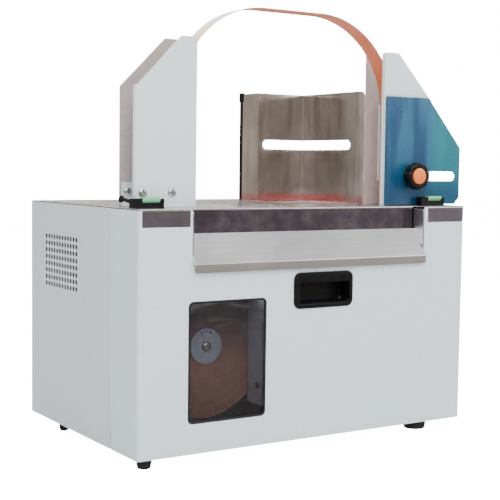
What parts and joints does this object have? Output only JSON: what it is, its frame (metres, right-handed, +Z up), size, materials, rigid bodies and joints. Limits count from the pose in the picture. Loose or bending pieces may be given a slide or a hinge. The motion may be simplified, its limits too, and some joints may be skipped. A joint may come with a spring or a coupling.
{
  "type": "semi automatic strapping machine",
  "caption": "Table-top band strapping machine: stainless table with two towers and a band arch, tape reel behind a window, pull-off front cover, sliding side guide and back stop.",
  "frame": {"origin": "on the floor, under the middle of the whole machine's box", "axes": "+X to the machine's right as seen from the front, +Y from the front cover to the rear panel, +Z up"},
  "size_m": [0.578, 0.358, 0.605],
  "materials": {
    "case_paint": "fine textured powder coat",
    "side_paint": "fine textured powder coat",
    "tower_paint": "satin powder coat",
    "zinc_sheet": "zinc-plated",
    "stainless": "fine brushed",
    "mirror_stainless": "polished",
    "blue_film": "stainless sheet under blue protective film",
    "arch_film": "translucent orange strip",
    "rubber_black": "matte",
    "black_plastic": "fine moulded grain",
    "orange_plastic": "gloss",
    "green_plastic": "satin",
    "red_plastic": "gloss",
    "bright_screw": "bright zinc",
    "machined_steel": "turned and ground",
    "dark_steel": "black oxide",
    "alu": "satin",
    "feed_rubber": "ground rubber",
    "white_plastic": "moulded",
    "kraft_paper": "wound kraft paper tape",
    "card": "cardboard tube",
    "tinted_acrylic": "clear tinted sheet",
    "board_green": "solder mask"
  },
  "bodies": {
    "root": {"base_pan": "zinc_sheet", "feet": "rubber_black", "inner_frame": "zinc_sheet", "left_side_panel": "side_paint", "right_side_panel": "side_paint", "rear_panel": "side_paint", "table_top": "stainless", "mechanism_plate": "zinc_sheet", "left_tower_front": "tower_paint", "left_tower_rear": "tower_paint", "right_tower_front": "tower_paint", "right_tower_rear": "tower_paint", "tower_bases": "tower_paint", "tower_screws": "bright_screw", "arch_rails": "tower_paint", "arch_guide": "arch_film", "head_frame": "machined_steel", "anvil_plate": "stainless", "drive_belt": "rubber_black", "main_motor": "dark_steel", "motor_mount": "zinc_sheet", "feed_motor": "dark_steel", "guide_pins": "machined_steel", "reel_spindle": "machined_steel", "spindle_screw": "dark_steel", "control_board": "board_green", "power_supply": "alu", "fan_housing": "black_plastic", "power_inlet": "black_plastic", "switch_frame": "black_plastic", "latch_bodies": "black_plastic"},
    "cover": {"front_cover": "case_paint", "window_gasket": "rubber_black", "window_pane": "tinted_acrylic", "pull_handle": "black_plastic", "cover_tray": "stainless", "window_shield": "alu"},
    "reel": {"reel_core": "card", "tape_roll": "kraft_paper", "reel_front_disc": "alu", "reel_rear_disc": "alu"},
    "feed": {"feed_roller": "feed_rubber"},
    "pinch": {"pinch_roller": "alu"},
    "cam": {"cam_shaft": "machined_steel", "cam_pulley": "alu"},
    "motor": {"motor_pulley": "alu"},
    "plunger": {"clamp_plunger": "machined_steel"},
    "dancer": {"dancer_arm": "machined_steel"},
    "dancer_wheel": {"dancer_wheel": "white_plastic"},
    "fan": {"fan_rotor": "black_plastic"},
    "rocker": {"switch_rocker": "red_plastic"},
    "left_tab": {"left_latch_tab": "green_plastic"},
    "right_tab": {"right_latch_tab": "green_plastic"},
    "guide": {"side_guide": "blue_film"},
    "guide_knob": {"guide_knob": "black_plastic", "guide_knob_cap": "orange_plastic"},
    "stop": {"back_stop": "mirror_stainless", "stop_trim": "black_plastic", "stop_foot": "mirror_stainless"},
    "stop_knob": {"stop_knob": "black_plastic"}
  },
  "joints": [
    {"name": "cover_pull", "type": "slide", "parent": "root", "child": "cover", "axis": [0, -1, 0], "range_m": [0, 0.13]},
    {"name": "reel_spin", "type": "hinge", "parent": "root", "child": "reel", "pos_m": [-0.155, -0.096, 0.142], "axis": [0, 1, 0], "continuous": true},
    {"name": "feed_spin", "type": "hinge", "parent": "root", "child": "feed", "pos_m": [0.1035, -0.096, 0.244], "axis": [0, 1, 0], "continuous": true},
    {"name": "pinch_spin", "type": "hinge", "parent": "root", "child": "pinch", "pos_m": [0.1035, -0.096, 0.2703], "axis": [0, 1, 0], "continuous": true},
    {"name": "cam_spin", "type": "hinge", "parent": "root", "child": "cam", "pos_m": [-0.0165, -0.096, 0.202], "axis": [0, 1, 0], "continuous": true},
    {"name": "motor_spin", "type": "hinge", "parent": "root", "child": "motor", "pos_m": [0.0455, -0.05, 0.132], "axis": [0, 1, 0], "continuous": true},
    {"name": "plunger_lift", "type": "slide", "parent": "root", "child": "plunger", "axis": [0, 0, 1], "range_m": [0, 0.0075]},
    {"name": "dancer_swing", "type": "hinge", "parent": "root", "child": "dancer", "pos_m": [0.0435, -0.075, 0.208], "axis": [0, 1, 0], "range_deg": [-25, 25], "stiffness_Nm_per_rad": 0.05},
    {"name": "dancer_wheel_spin", "type": "hinge", "parent": "dancer", "child": "dancer_wheel", "pos_m": [0.0435, -0.096, 0.162], "axis": [0, 1, 0], "continuous": true},
    {"name": "fan_spin", "type": "hinge", "parent": "root", "child": "fan", "pos_m": [-0.1665, 0.165, 0.222], "axis": [0, 1, 0], "continuous": true},
    {"name": "rocker_tilt", "type": "hinge", "parent": "root", "child": "rocker", "pos_m": [0.1285, 0.172, 0.072], "axis": [1, 0, 0], "range_deg": [-7, 7]},
    {"name": "left_tab_press", "type": "slide", "parent": "root", "child": "left_tab", "axis": [0, 0, -1], "range_m": [0, 0.002], "stiffness_N_per_m": 300},
    {"name": "right_tab_press", "type": "slide", "parent": "root", "child": "right_tab", "axis": [0, 0, -1], "range_m": [0, 0.002], "stiffness_N_per_m": 300},
    {"name": "guide_slide", "type": "slide", "parent": "root", "child": "guide", "axis": [-1, 0, 0], "range_m": [0, 0.08]},
    {"name": "guide_knob_turn", "type": "hinge", "parent": "root", "child": "guide_knob", "pos_m": [0.1895, -0.138, 0.3755], "axis": [0, 1, 0], "range_deg": [0, 350]},
    {"name": "stop_slide", "type": "slide", "parent": "root", "child": "stop", "axis": [0, 1, 0], "range_m": [0, 0.025]},
    {"name": "stop_knob_turn", "type": "hinge", "parent": "root", "child": "stop_knob", "pos_m": [0.1035, 0.149, 0.34], "axis": [0, 0, 1], "range_deg": [0, 350]}
  ],
  "couplings": [
    {"joint": "pinch_spin", "follows": "feed_spin", "ratio": -1.1667},
    {"joint": "motor_spin", "follows": "cam_spin", "ratio": 2.5}
  ]
}
